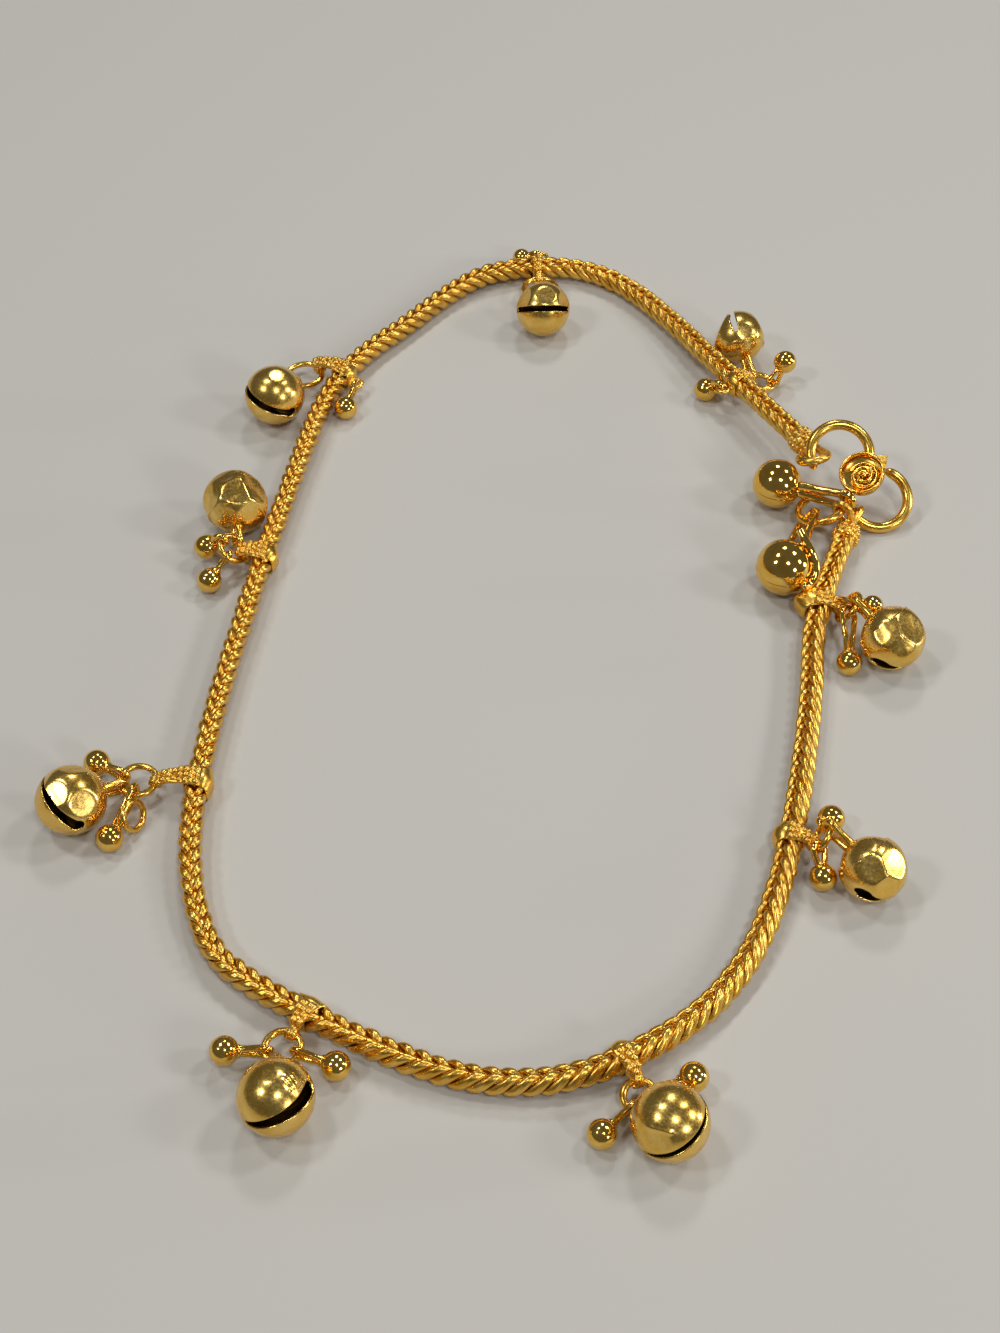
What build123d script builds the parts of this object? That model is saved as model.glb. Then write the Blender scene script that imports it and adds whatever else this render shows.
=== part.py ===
from build123d import *
from math import acos, atan2, cos, degrees, hypot, pi, radians, sin, tan
import os

# Charm anklet of high-karat gold, lying on a flat surface. Millimetres, +Z up.
# The origin is on the surface, under the middle of the whole piece.

# Chain: a square woven chain, here one round tube of the same thickness.
chain_radius = 1.05
# A band is a strap of sheet gold wrapped round the chain, widest on the inner side.
band_hole = 1.13
band_half = 1.38
band_inner_length = 3.6
band_outer_length = 1.5
strap_width = 0.9
strap_thickness = 0.4
knuckle_radius = 0.62
knuckle_bore = 0.34
knuckle_length = 0.8
side_eye_radius = 0.6
side_eye_wire = 0.17
side_eye_reach = 0.55
# Charms and the rings that carry them.
ring_wire = 0.22
loop_wire = 0.2
loop_radius = 0.55
bell_loop_spread = 0.4
ball_radius = 1.2
ball_loop_spread = 0.3
bell_radius = 3.05
bell_wall = 0.3
bell_ledge = 0.1
bell_seam_latitude = -32
slot_end_latitude = 10
keyhole_share = 0.75
# Clasp: an S-shaped hook that leans on the ends of the chain, with a rosette on its waist.
hook_lean = 33
hook_wire = 0.45
hook_arc_radius = 3.0
hook_waist_angle = 128
hook_end_a = 235
hook_end_b = 75
rosette_radius = 2.1
rosette_height = 0.85
rosette_wall = 0.28
rosette_floor = 0.35
rosette_coil_wire = 0.2
clasp_ring_radius = 2.3
clasp_ring_wire = 0.32
cap_radius = 1.35
cap_bore = 1.12
cap_sleeve = 1.0
cap_cone = 1.4
cap_tip = 0.75
cap_eye_a = 1.15
cap_eye_b = 0.87
cap_slack_a = 0.25
cap_slack_b = 0.05
cap_eye_wire = 0.27

# From the middle of the loop of chain to the middle of the whole piece.
loop_offset = Vector(3.42, 1.95, 0)


def at(x, y, z):
    return Vector(x, y, z) + loop_offset


# The chain's route, one way round from the upper end of the clasp: across the top, down the
# left, along the bottom and up the right. It rises to the clasp and sags between the bands.
route = [
    at(26.6, 19.9, 3.4),
    at(22.7, 27.0, 2.9),
    at(19.1, 33.4, 2.1),
    at(14.2, 42.9, 1.4),
    at(9.2, 49.6, 1.1),
    at(3.6, 52.0, 1.38),
    at(-4.8, 51.2, 1.38),
    at(-9.6, 47.4, 1.1),
    at(-14.2, 41.6, 1.1),
    at(-19.0, 36.0, 1.38),
    at(-22.2, 29.9, 1.38),
    at(-24.8, 17.2, 1.38),
    at(-27.4, 1.9, 1.38),
    at(-29.7, -13.8, 1.38),
    at(-30.6, -26.0, 1.38),
    at(-29.6, -34.0, 1.1),
    at(-27.4, -39.8, 1.1),
    at(-23.3, -43.2, 1.38),
    at(-15.2, -47.9, 1.38),
    at(-6.6, -51.5, 1.1),
    at(1.6, -51.6, 1.38),
    at(9.6, -47.5, 1.38),
    at(14.8, -42.6, 1.1),
    at(18.6, -35.6, 1.38),
    at(21.6, -25.2, 1.38),
    at(24.3, -11.6, 1.1),
    at(25.1, -4.2, 1.38),
    at(27.2, 2.4, 1.38),
    at(29.8, 8.8, 1.4),
]

# One row for each cluster of charms. The band sits on a run of the route, at a share of it,
# and faces outwards, or inwards with side -1. strap is the distance from the chain's middle
# to the eye, at the angle drop from level. The jump ring turns by swing about the eye and
# rises outwards by lean. A charm's place is out from the chain, along it and up, and hook is
# the angle round the jump ring where it hangs, or None where it hangs on the side eye.
clusters = [
    dict(
        run=1, share=0.5, side=1, strap=2.2, drop=-30, ring=1.5, swing=25, lean=-12, side_eye=0,
        bell=dict(place=(4.1, 6.1, 2.8), hook=95, radius=2.8, slot=0.65, turn=50),
        balls=[
            dict(place=(-2.6, 2.1, 1.2), hook=None, loop=0.5),
            dict(place=(6.2, 0.4, 2.6), hook=-15),
        ],
    ),
    dict(
        run=5, share=0.42, side=-1, strap=2.1, drop=0, ring=1.8, swing=0, lean=3, side_eye=-0.8,
        bell=dict(place=(9.5, 0.3, 2.9), hook=0, radius=2.9, slot=0.55, turn=-5),
        balls=[dict(place=(-2.55, 1.4, 1.0), hook=None, loop=0.5, radius=1.0)],
    ),
    dict(
        run=9, share=0.5, side=1, strap=2.9, drop=-5, ring=1.9, swing=60, lean=-3, side_eye=0.6,
        bell=dict(place=(3.5, 7.8, 3.05), hook=95, slot=0.8, turn=-5),
        balls=[dict(place=(-2.85, 4.3, 1.2), hook=None, loop=0.5)],
    ),
    dict(
        run=11, share=0.77, side=1, strap=1.9, drop=0, ring=1.4, swing=0, lean=38,
        bell=dict(place=(4.0, -5.3, 3.2), hook=-95, radius=3.2, slot=0.7, turn=-40),
        balls=[
            dict(place=(5.7, -0.2, 1.8), hook=0),
            dict(place=(4.4, 3.7, 1.3), hook=80),
        ],
    ),
    dict(
        run=13, share=0.7, side=1, strap=3.6, drop=0, ring=1.6, swing=0, lean=0,
        bell=dict(place=(10.0, 3.8, 3.05), hook=30, slot=0.75, turn=15),
        balls=[
            dict(place=(9.1, -1.5, 1.6), hook=-20),
            dict(place=(6.4, 6.3, 1.3), hook=85, loop=0.85),
        ],
    ),
    dict(
        run=17, share=0.5, side=1, strap=2.0, drop=0, ring=1.45, swing=0, lean=-5,
        bell=dict(place=(8.0, 2.7, 3.05), hook=20, slot=1.0, turn=40),
        balls=[
            dict(place=(6.1, -3.6, 1.7), hook=-50),
            dict(place=(2.7, 4.5, 1.3), hook=100),
        ],
    ),
    dict(
        run=20, share=0.5, side=1, strap=2.1, drop=0, ring=1.3, swing=-20, lean=-15,
        bell=dict(place=(7.1, -0.1, 3.05), hook=45, slot=0.5, turn=-40),
        balls=[
            dict(place=(4.8, -4.6, 1.2), hook=-70),
            dict(place=(4.0, 3.9, 1.7), hook=90),
        ],
    ),
    dict(
        run=23, share=0.7, side=1, strap=1.9, drop=0, ring=1.4, swing=0, lean=65,
        bell=dict(place=(7.1, -2.3, 2.9), hook=0, radius=2.85, slot=0.8, turn=10),
        balls=[
            dict(place=(2.9, 3.1, 1.4), hook=95),
            dict(place=(3.3, -3.1, 1.3), hook=-90),
        ],
    ),
    dict(
        run=26, share=0.5, side=1, strap=1.9, drop=0, ring=1.45, swing=-20, lean=55,
        bell=dict(place=(7.25, -3.6, 3.05), hook=-20, slot=0.8, turn=15),
        balls=[
            dict(place=(4.0, -6.15, 1.2), hook=-75, loop=0.85),
            dict(place=(4.8, -0.2, 3.1), hook=115, radius=1.0),
        ],
    ),
]

hook_waist = at(31.5, 14.9, 3.45)
rosette_normal = Vector(-0.3, -0.38, 0.87)
rosette_shift = (0.4, -0.1)
rosette_corner = [(1.2, 1.7), (3.1, 1.6), (2.1, -0.6)]
cap_hold_a = 188
cap_hold_b = 216
cap_hold_ring = -32
clasp_ring_centre = at(27.6, 11.7, 2.2)
clasp_ring_normal = Vector(-0.35, 0.1, 0.93)
clasp_balls = [
    dict(place=at(23.5, 14.8, 2.5), radius=2.45, hook=2, loop=0.8, legs=0.3, turn=0),
    dict(place=at(23.0, 2.9, 2.7), radius=2.7, hook=225, loop=1.3, legs=2.0, turn=-50),
]


def write(made, name):
    made.part.label = name
    export_step(made.part, f"parts/{name}.step")


def corner_radii(points):
    # Each arc is as large as its two runs allow.
    radii = []
    for before, here, after in zip(points, points[1:], points[2:]):
        turn = radians((here - before).get_angle(after - here))
        shorter = min((here - before).length, (after - here).length)
        radii.append(0.45 * shorter / tan(turn / 2))
    return radii


def cluster_frame(row):
    # The band's place on the chain, the chain's direction there, outwards and upwards.
    start, end = route[row["run"]], route[row["run"] + 1]
    place = start + (end - start) * row["share"]
    along = (end - start).normalized()
    out = along.cross(Vector(0, 0, 1)).normalized()
    if out.dot(place - loop_offset) < 0:
        out = -out
    out = out * row["side"]
    upright = out.cross(along)
    if upright.Z < 0:
        upright = -upright
    return place, along, out, upright


def ring_frame(row):
    # The eye at the end of the strap, the ring's middle and its two directions.
    place, along, out, upright = cluster_frame(row)
    drop = radians(row["drop"])
    strap_way = out * cos(drop) + upright * sin(drop)
    eye = place + strap_way * row["strap"]
    lean = radians(row["lean"])
    outwards = out * cos(lean) + upright * sin(lean)
    swing = radians(row["swing"])
    centre = eye + (outwards * cos(swing) + along * sin(swing)) * row["ring"]
    return strap_way, eye, centre, outwards, along


def ring_point(row, angle):
    # A point on the jump ring's wire, and the wire's direction there.
    _, _, centre, outwards, along = ring_frame(row)
    turned = radians(angle)
    point = centre + (outwards * cos(turned) + along * sin(turned)) * row["ring"]
    return point, along * cos(turned) - outwards * sin(turned)


def side_eye_centre(row):
    place, along, out, _ = cluster_frame(row)
    return place - out * (band_half + side_eye_reach) + along * row["side_eye"]


def charm_hook(row, charm):
    # Where the charm hangs: its middle, the point of the wire it hangs on and that wire's way.
    place, along, out, _ = cluster_frame(row)
    far, sideways, up = charm["place"]
    middle = place + out * far + along * sideways
    middle = Vector(middle.X, middle.Y, up)
    if charm["hook"] is not None:
        point, way = ring_point(row, charm["hook"])
        return middle, point, way
    centre = side_eye_centre(row)
    reach = middle - centre
    reach = Vector(reach.X, reach.Y, 0).normalized()
    return middle, centre + reach * side_eye_radius, Vector(0, 0, 1).cross(reach)


def loop_plane(point, way, middle, turn=0):
    # X runs from the wire to the charm. The loop lies across the wire, or turned from that.
    reach = (middle - point).normalized()
    across = (way - reach * way.dot(reach)).normalized()
    return Plane(origin=point, x_dir=reach, z_dir=across.rotate(Axis((0, 0, 0), reach), turn))


def wire_loop(plane, reach, radius, spread, wire):
    # A loop of wire round the plane's origin, its two legs running out to the charm.
    tangent = atan2(spread, reach) + acos(radius / hypot(reach, spread))
    leg_start = (radius * cos(tangent), radius * sin(tangent))
    leg_end = (radius * cos(tangent), -radius * sin(tangent))
    with BuildLine(plane) as path:
        Line((reach, spread), leg_start)
        ThreePointArc(leg_start, (-radius, 0), leg_end)
        Line(leg_end, (reach, -spread))
    with BuildSketch(Plane(origin=path.line @ 0, z_dir=path.line % 0)) as section:
        Circle(wire)
    sweep(sections=section.sketch, path=path.line)


def chain():
    radii = corner_radii(route)
    with BuildPart() as tube:
        with BuildLine() as path:
            FilletPolyline(*route, radius=radii)
        with BuildSketch(Plane(origin=path.line @ 0, z_dir=path.line % 0)) as section:
            Circle(chain_radius)
        sweep(sections=section.sketch, path=path.line)
    write(tube, "chain")
    print("corner radii", [round(radius, 1) for radius in radii])
    length = sum(edge.length for edge in path.line.edges())
    solid_share = tube.part.volume / (length * pi * chain_radius**2)
    print("chain length", round(length, 1), "volume over section times length", round(solid_share, 4))


def band(row, name):
    place, along, out, upright = cluster_frame(row)
    strap_way, eye, centre, outwards, _ = ring_frame(row)
    crossways = Plane(origin=place, x_dir=out, z_dir=along)
    flat = Plane(origin=place, x_dir=along, z_dir=upright)
    far = band_half + 0.3
    # On the flat plane Y runs to one side of the chain, which may be the inner one.
    outer = far if flat.y_dir.dot(out) > 0 else -far
    with BuildPart() as made:
        with BuildSketch(crossways):
            RectangleRounded(2 * band_half, 2 * band_half, 0.5)
        extrude(amount=band_inner_length / 2, both=True)
        with BuildSketch(flat):
            with BuildLine():
                Polyline(
                    (-band_inner_length / 2, -outer),
                    (-band_inner_length / 2, -outer / 2),
                    (-band_outer_length / 2, outer / 2),
                    (-band_outer_length / 2, outer),
                    (band_outer_length / 2, outer),
                    (band_outer_length / 2, outer / 2),
                    (band_inner_length / 2, -outer / 2),
                    (band_inner_length / 2, -outer),
                    close=True,
                )
            make_face()
        extrude(amount=far, both=True, mode=Mode.INTERSECT)
        with BuildSketch(Plane(origin=place, x_dir=strap_way, z_dir=along)):
            strap_length = row["strap"] - band_hole - knuckle_bore - 0.08
            with Locations((band_hole + 0.04 + strap_length / 2, 0)):
                Rectangle(strap_length, strap_thickness)
        extrude(amount=strap_width / 2, both=True)
        _, ring_way = ring_point(row, row["swing"] + 180)
        with BuildSketch(Plane(origin=eye, z_dir=ring_way)):
            Circle(knuckle_radius)
        extrude(amount=knuckle_length / 2, both=True)
        # The eye's bore is curved like the jump ring that turns in it.
        with Locations(Plane(origin=centre, x_dir=outwards, z_dir=outwards.cross(along))):
            Torus(row["ring"], knuckle_bore, mode=Mode.SUBTRACT)
        if "side_eye" in row:
            side = Plane(origin=side_eye_centre(row), z_dir=upright)
            with Locations(side):
                Torus(side_eye_radius, side_eye_wire)
        with BuildSketch(crossways):
            RectangleRounded(2 * band_hole, 2 * band_hole, 0.4)
        extrude(amount=band_inner_length, both=True, mode=Mode.SUBTRACT)
    write(made, name)


def jump_ring(row, name):
    _, _, centre, outwards, along = ring_frame(row)
    with BuildPart(Plane(origin=centre, x_dir=outwards, z_dir=outwards.cross(along))) as made:
        Torus(row["ring"], ring_wire)
    write(made, name)


def bell(row, name):
    charm = row["bell"]
    radius = charm.get("radius", bell_radius)
    middle, point, way = charm_hook(row, charm)
    hanging = loop_plane(point, way, middle)
    # The bell's own Z runs from its loop to its mouth, and the slot crosses the mouth.
    turned = hanging.z_dir.rotate(Axis((0, 0, 0), hanging.x_dir), charm["turn"])
    body = Plane(origin=middle, x_dir=turned, z_dir=hanging.x_dir)
    meridian = Plane(origin=middle, x_dir=turned, z_dir=-body.y_dir)
    cap_radius_outside = radius - bell_ledge
    keyhole = charm["slot"] * keyhole_share
    slot_bottom = radius * sin(radians(slot_end_latitude))
    with BuildPart() as made:
        with BuildSketch(meridian):
            with BuildLine():
                # Half the outline: the cap behind the seam is a little smaller than the dome.
                Line((0, -cap_radius_outside), (0, radius))
                dome = CenterArc((0, 0), radius, bell_seam_latitude, 90 - bell_seam_latitude)
                cap = CenterArc((0, 0), cap_radius_outside, -90, 90 + bell_seam_latitude)
                Line(dome @ 0, cap @ 1)
            make_face()
        revolve(axis=Axis(middle, hanging.x_dir))
        reach = (middle - point).length - radius + bell_wall
        wire_loop(hanging, reach, charm.get("loop", loop_radius), bell_loop_spread, loop_wire)
        with Locations(body):
            Sphere(radius - bell_wall, mode=Mode.SUBTRACT)
        with BuildSketch(body.offset(slot_bottom)):
            Rectangle(3 * radius, charm["slot"])
        extrude(amount=radius, mode=Mode.SUBTRACT)
        ends = Plane(origin=middle + body.z_dir * slot_bottom, z_dir=turned)
        with BuildSketch(ends):
            Circle(keyhole)
        extrude(amount=1.5 * radius, both=True, mode=Mode.SUBTRACT)
    write(made, name)


def ball(row, charm, name):
    middle, point, way = charm_hook(row, charm)
    hanging = loop_plane(point, way, middle)
    with BuildPart() as made:
        with Locations(Plane(origin=middle, x_dir=hanging.x_dir, z_dir=hanging.z_dir)):
            Sphere(charm.get("radius", ball_radius))
        reach = (middle - point).length - 0.3
        wire_loop(hanging, reach, charm.get("loop", loop_radius), ball_loop_spread, loop_wire)
    write(made, name)


hook_plane = Plane(
    origin=hook_waist,
    x_dir=(1, 0, 0),
    z_dir=(0, -sin(radians(hook_lean)), cos(radians(hook_lean))),
)
hook_middle_a = (
    hook_arc_radius * cos(radians(hook_waist_angle)),
    hook_arc_radius * sin(radians(hook_waist_angle)),
)
hook_middle_b = (-hook_middle_a[0], -hook_middle_a[1])
rosette_seat = Plane(
    origin=hook_plane.from_local_coords(Vector(*rosette_shift, hook_wire - 0.1)),
    x_dir=(rosette_normal.Z, 0, -rosette_normal.X),
    z_dir=rosette_normal,
)
clasp_ring_plane = Plane(
    origin=clasp_ring_centre,
    x_dir=(clasp_ring_normal.Z, 0, -clasp_ring_normal.X),
    z_dir=clasp_ring_normal,
)


def arc_point(plane, middle, radius, angle):
    # A point on a ring of wire lying in a plane, and the wire's way there.
    turned = radians(angle)
    flat = Vector(middle[0] + radius * cos(turned), middle[1] + radius * sin(turned), 0)
    return plane.from_local_coords(flat), plane.y_dir * cos(turned) - plane.x_dir * sin(turned)


def hook():
    with BuildPart() as made:
        # The rosette is a shallow cup of sheet with coils of wire and a grain in it.
        with BuildSketch(rosette_seat):
            Circle(rosette_radius)
        extrude(amount=rosette_height)
        with BuildSketch(rosette_seat.offset(rosette_floor)):
            Circle(rosette_radius - rosette_wall)
        extrude(amount=rosette_height, mode=Mode.SUBTRACT)
        with Locations(rosette_seat.offset(rosette_floor)):
            Torus(1.3, rosette_coil_wire)
            Torus(0.7, rosette_coil_wire)
            Sphere(0.35)
        # The corner of its backing sheet, left standing beyond the cup.
        with BuildSketch(rosette_seat):
            with BuildLine():
                Polyline(*rosette_corner, close=True)
            make_face()
        extrude(amount=rosette_floor)
        turn_a = hook_waist_angle - 180 - hook_end_a
        turn_b = 360 + hook_end_b - hook_waist_angle
        with BuildLine(hook_plane) as path:
            CenterArc(hook_middle_a, hook_arc_radius, hook_end_a, turn_a)
            CenterArc(hook_middle_b, hook_arc_radius, hook_waist_angle, turn_b)
        with BuildSketch(Plane(origin=path.line @ 0, z_dir=path.line % 0)) as section:
            Circle(hook_wire)
        sweep(sections=section.sketch, path=path.line)
    write(made, "hook")


def end_cap(end, inner, held, name):
    # A sleeve over the end of the chain, a cone beyond it, and loops of wire on the cone.
    way = (end - inner).normalized()
    tip = end + way * cap_cone
    with BuildPart() as made:
        with BuildSketch(Plane(origin=end, x_dir=way, z_dir=way.cross(Vector(0, 0, 1)))):
            with BuildLine():
                Polyline(
                    (-cap_sleeve, 0),
                    (-cap_sleeve, cap_radius),
                    (0, cap_radius),
                    (cap_cone, cap_tip),
                    (cap_cone, 0),
                    close=True,
                )
            make_face()
        revolve(axis=Axis(end, way))
        for point, wire_way, radius in held:
            hanging = loop_plane(point, wire_way, tip)
            wire_loop(hanging, (tip - point).length + 0.3, radius, 0.35, cap_eye_wire)
        with BuildSketch(Plane(origin=end - way * 2 * cap_sleeve, z_dir=way)):
            Circle(cap_bore)
        extrude(amount=2 * cap_sleeve + 0.07, mode=Mode.SUBTRACT)
    write(made, name)


def clasp_ring():
    with BuildPart(clasp_ring_plane) as made:
        Torus(clasp_ring_radius, clasp_ring_wire)
    write(made, "clasp_ring")


def clasp_ball(row, name):
    point, way = arc_point(clasp_ring_plane, (0, 0), clasp_ring_radius, row["hook"])
    hanging = loop_plane(point, way, row["place"], row["turn"])
    reach = (row["place"] - point).length - row["radius"] / 2
    with BuildPart() as made:
        with Locations(Plane(origin=row["place"], x_dir=hanging.x_dir, z_dir=hanging.z_dir)):
            Sphere(row["radius"])
        wire_loop(hanging, reach, row["loop"], row["legs"], cap_eye_wire)
    write(made, name)


hold_a = arc_point(hook_plane, hook_middle_a, hook_arc_radius - cap_slack_a, cap_hold_a)
hold_b = arc_point(hook_plane, hook_middle_b, hook_arc_radius - cap_slack_b, cap_hold_b)
hold_ring = arc_point(clasp_ring_plane, (0, 0), clasp_ring_radius, cap_hold_ring)

os.makedirs("parts", exist_ok=True)
chain()
for number, row in enumerate(clusters, 1):
    band(row, f"band_{number}")
    jump_ring(row, f"jump_ring_{number}")
    bell(row, f"bell_{number}")
    for letter, charm in zip("ab", row["balls"]):
        ball(row, charm, f"ball_{number}{letter}")
hook()
end_cap(route[0], route[1], [(*hold_a, cap_eye_a)], "end_cap_a")
end_cap(route[-1], route[-2], [(*hold_b, cap_eye_b), (*hold_ring, 0.75)], "end_cap_b")
clasp_ring()
for number, row in enumerate(clasp_balls, 1):
    clasp_ball(row, f"clasp_ball_{number}")
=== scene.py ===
from math import acos, atan2, cos, exp, hypot, pi, radians, sin

import bpy
import numpy as np
from mathutils import Matrix


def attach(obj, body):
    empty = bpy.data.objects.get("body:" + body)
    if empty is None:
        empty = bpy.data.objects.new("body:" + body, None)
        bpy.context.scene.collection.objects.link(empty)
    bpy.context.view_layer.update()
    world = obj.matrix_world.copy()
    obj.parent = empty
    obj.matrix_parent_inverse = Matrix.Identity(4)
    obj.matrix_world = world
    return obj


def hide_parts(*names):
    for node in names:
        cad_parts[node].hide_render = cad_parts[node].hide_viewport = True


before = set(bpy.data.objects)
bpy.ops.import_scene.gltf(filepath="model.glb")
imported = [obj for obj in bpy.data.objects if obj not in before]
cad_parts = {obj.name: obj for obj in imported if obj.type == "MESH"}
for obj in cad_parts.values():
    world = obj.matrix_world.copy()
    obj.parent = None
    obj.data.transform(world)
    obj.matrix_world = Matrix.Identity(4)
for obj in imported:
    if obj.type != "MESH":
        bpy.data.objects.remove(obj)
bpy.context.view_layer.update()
print("frame loaded:", len(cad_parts), "CAD nodes")

mm = 0.001  # shapes are worked out in millimetres and turned to metres when a mesh is made
up = np.array([0.0, 0.0, 1.0])
dice = np.random.default_rng(41)

# the layout is the CAD model's own: the loop of chain, then one row for each cluster of charms
loopOffset = np.array([3.42, 1.95, 0.0])
chain = dict(
    pitch=1.42,  # from one link to the next
    stagger=-0.35,  # how far the left column of links runs ahead of the right one
    first=1.1,  # where the first link starts, from the chain's end
    past=0.3,  # how far the last one runs on into its cap
    step=0.25,  # between the points that its line is worked out at
    uneven=0.03,  # how unlike each other its half links are
    core=(0.55, 0.5),  # half the width and height of the filling between the columns
    sway=6.0,  # the square rolls a little from side to side all along, degrees
    rolls=dict(share=(0.0, 0.3, 0.6, 0.7, 0.8, 0.93, 1.0), turn=(4, 0, 2, 24, 38, 34, 8)),
    lift=0.04,
    route=[
        (26.6, 19.9, 3.4), (22.7, 27.0, 2.9), (19.1, 33.4, 2.1), (14.2, 42.9, 1.4),
        (9.2, 49.6, 1.1), (3.6, 52.0, 1.38), (-4.8, 51.2, 1.38), (-9.6, 47.4, 1.1),
        (-14.2, 41.6, 1.1), (-19.0, 36.0, 1.38), (-22.2, 29.9, 1.38), (-24.8, 17.2, 1.38),
        (-27.4, 1.9, 1.38), (-29.7, -13.8, 1.38), (-30.6, -26.0, 1.38), (-29.6, -34.0, 1.1),
        (-27.4, -39.8, 1.1), (-23.3, -43.2, 1.38), (-15.2, -47.9, 1.38), (-6.6, -51.5, 1.1),
        (1.6, -51.6, 1.38), (9.6, -47.5, 1.38), (14.8, -42.6, 1.1), (18.6, -35.6, 1.38),
        (21.6, -25.2, 1.38), (24.3, -11.6, 1.1), (25.1, -4.2, 1.38), (27.2, 2.4, 1.38),
        (29.8, 8.8, 1.4),
    ],
)
route = [np.array(point) + loopOffset for point in chain["route"]]

# where each cluster hangs: the run of the route and the share along it, which side, how far out its strap
# reaches and drops, its ring's radius, swing and lean, and the eye on the inner side if it has one
clusters = [
    dict(run=1, share=0.5, side=1, strap=2.2, drop=-30, ring=1.5, swing=25, lean=-12, eye=0.0),
    dict(run=5, share=0.42, side=-1, strap=2.1, drop=0, ring=1.8, swing=0, lean=3, eye=-0.8),
    dict(run=9, share=0.5, side=1, strap=2.9, drop=-5, ring=1.9, swing=60, lean=-3, eye=0.6),
    dict(run=11, share=0.77, side=1, strap=1.9, drop=0, ring=1.4, swing=0, lean=38),
    dict(run=13, share=0.7, side=1, strap=3.6, drop=0, ring=1.6, swing=0, lean=0, spare=(4.8, 3.9, 1.5)),
    dict(run=17, share=0.5, side=1, strap=2.0, drop=0, ring=1.45, swing=0, lean=-5),
    dict(run=20, share=0.5, side=1, strap=2.1, drop=0, ring=1.3, swing=-20, lean=-15),
    dict(run=23, share=0.7, side=1, strap=1.9, drop=0, ring=1.4, swing=0, lean=65),
    dict(run=26, share=0.5, side=1, strap=1.9, drop=0, ring=1.45, swing=-20, lean=55),
]
wires = dict(
    ring=0.3,
    loop=0.27,
    loopRadius=0.6,
    loopSwell=0.25,  # how much thicker its legs grow where the solder has run up them
    loopSink=0.3,  # how deep the legs run into what they carry
    sideEye=0.22,
    sideEyeRadius=0.6,
    sideEyePlace=1.93,  # how far its middle stands from the chain's
)


# small helpers

def newObject(name, data):
    made = bpy.data.objects.new(name, data)
    bpy.context.scene.collection.objects.link(made)
    return made


def unit(v):
    return np.asarray(v, float) / np.linalg.norm(v)


def makeFrame(origin, z, x):
    z = unit(z)
    x = unit(np.asarray(x, float) - z * np.dot(x, z))
    return dict(origin=np.asarray(origin, float), x=x, y=np.cross(z, x), z=z)


def toWorld(at, points):
    points = np.atleast_2d(points)
    return at["origin"] + points[:, :1] * at["x"] + points[:, 1:2] * at["y"] + points[:, 2:3] * at["z"]


def shifted(at, way):
    # the same frame moved along its own axes
    return dict(at, origin=toWorld(at, way)[0])


def circling(radius, angle, height=0.0):
    # points round the z axis
    return np.stack(np.broadcast_arrays(radius * np.cos(angle), radius * np.sin(angle), height), 1)


def turnAbout(v, axis, degrees):
    a = radians(degrees)
    return v * cos(a) + np.cross(axis, v) * sin(a) + axis * np.dot(axis, v) * (1 - cos(a))


def smooth(low, high, x):
    t = np.clip((np.asarray(x, float) - low) / (high - low), 0, 1)
    return t * t * (3 - 2 * t)


def gridFaces(rows, columns, wrap):
    # the faces between rows of points; wrap joins the last column to the first
    faces = []
    for r in range(rows - 1):
        for c in range(columns if wrap else columns - 1):
            d = (c + 1) % columns
            low = r * columns
            high = low + columns
            faces.append((low + c, low + d, high + d, high + c))
    return faces


def endFaces(rows, columns):
    # the two faces that close a tube's ends
    last = (rows - 1) * columns
    return [tuple(range(columns))[::-1], tuple(range(last, last + columns))]


def sweepTube(points, radius, sides=12, closed=False):
    # a round wire along points, its thickness a number or one for each point
    points = np.asarray(points, float)
    count = len(points)
    radius = np.broadcast_to(np.asarray(radius, float), (count,))
    if closed:
        tangents = np.roll(points, -1, 0) - np.roll(points, 1, 0)
    else:
        tangents = np.gradient(points, axis=0)
    tangents /= np.linalg.norm(tangents, axis=1)[:, None]
    normal = unit(np.cross(tangents[0], up if abs(tangents[0][2]) < 0.9 else np.array([1.0, 0, 0])))
    normals = []
    for tangent in tangents:
        normal = unit(normal - tangent * np.dot(normal, tangent))
        normals.append(normal)
    normals = np.array(normals)
    if closed:  # the frame comes back turned, so the difference is spread over the turn
        back = unit(normals[-1] - tangents[0] * np.dot(normals[-1], tangents[0]))
        twist = atan2(np.dot(np.cross(back, normals[0]), tangents[0]), np.dot(back, normals[0]))
        turns = twist * np.arange(count) / count
        side = np.cross(tangents, normals)
        normals = normals * np.cos(turns)[:, None] + side * np.sin(turns)[:, None]
    sideways = np.cross(tangents, normals)
    angles = np.linspace(0, 2 * pi, sides, endpoint=False)
    around = np.cos(angles)[:, None] * normals[:, None] + np.sin(angles)[:, None] * sideways[:, None]
    verts = (points[:, None] + radius[:, None, None] * around).reshape(-1, 3)
    faces = gridFaces(count, sides, True)
    if closed:
        last = (count - 1) * sides
        faces += [(last + c, last + (c + 1) % sides, (c + 1) % sides, c) for c in range(sides)]
    else:
        faces += endFaces(count, sides)
    return verts, faces


def lathe(at, outline, sides):
    # outline is a list of (radius, height) turned about the frame's z
    angles = np.linspace(0, 2 * pi, sides, endpoint=False)
    rows = [circling(r, angles, h) for r, h in outline]
    return toWorld(at, np.concatenate(rows)), gridFaces(len(outline), sides, True)


def handmade(count, depth, waves=5, closed=True):
    # a wire drawn and bent by hand is never quite even
    t = np.linspace(0, 2 * pi, count, endpoint=not closed)
    value = np.ones(count)
    for wave in range(1, waves + 1):
        value += depth / waves * np.sin(wave * t * (1 if closed else 0.7) + dice.uniform(0, 2 * pi))
    return value


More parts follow.
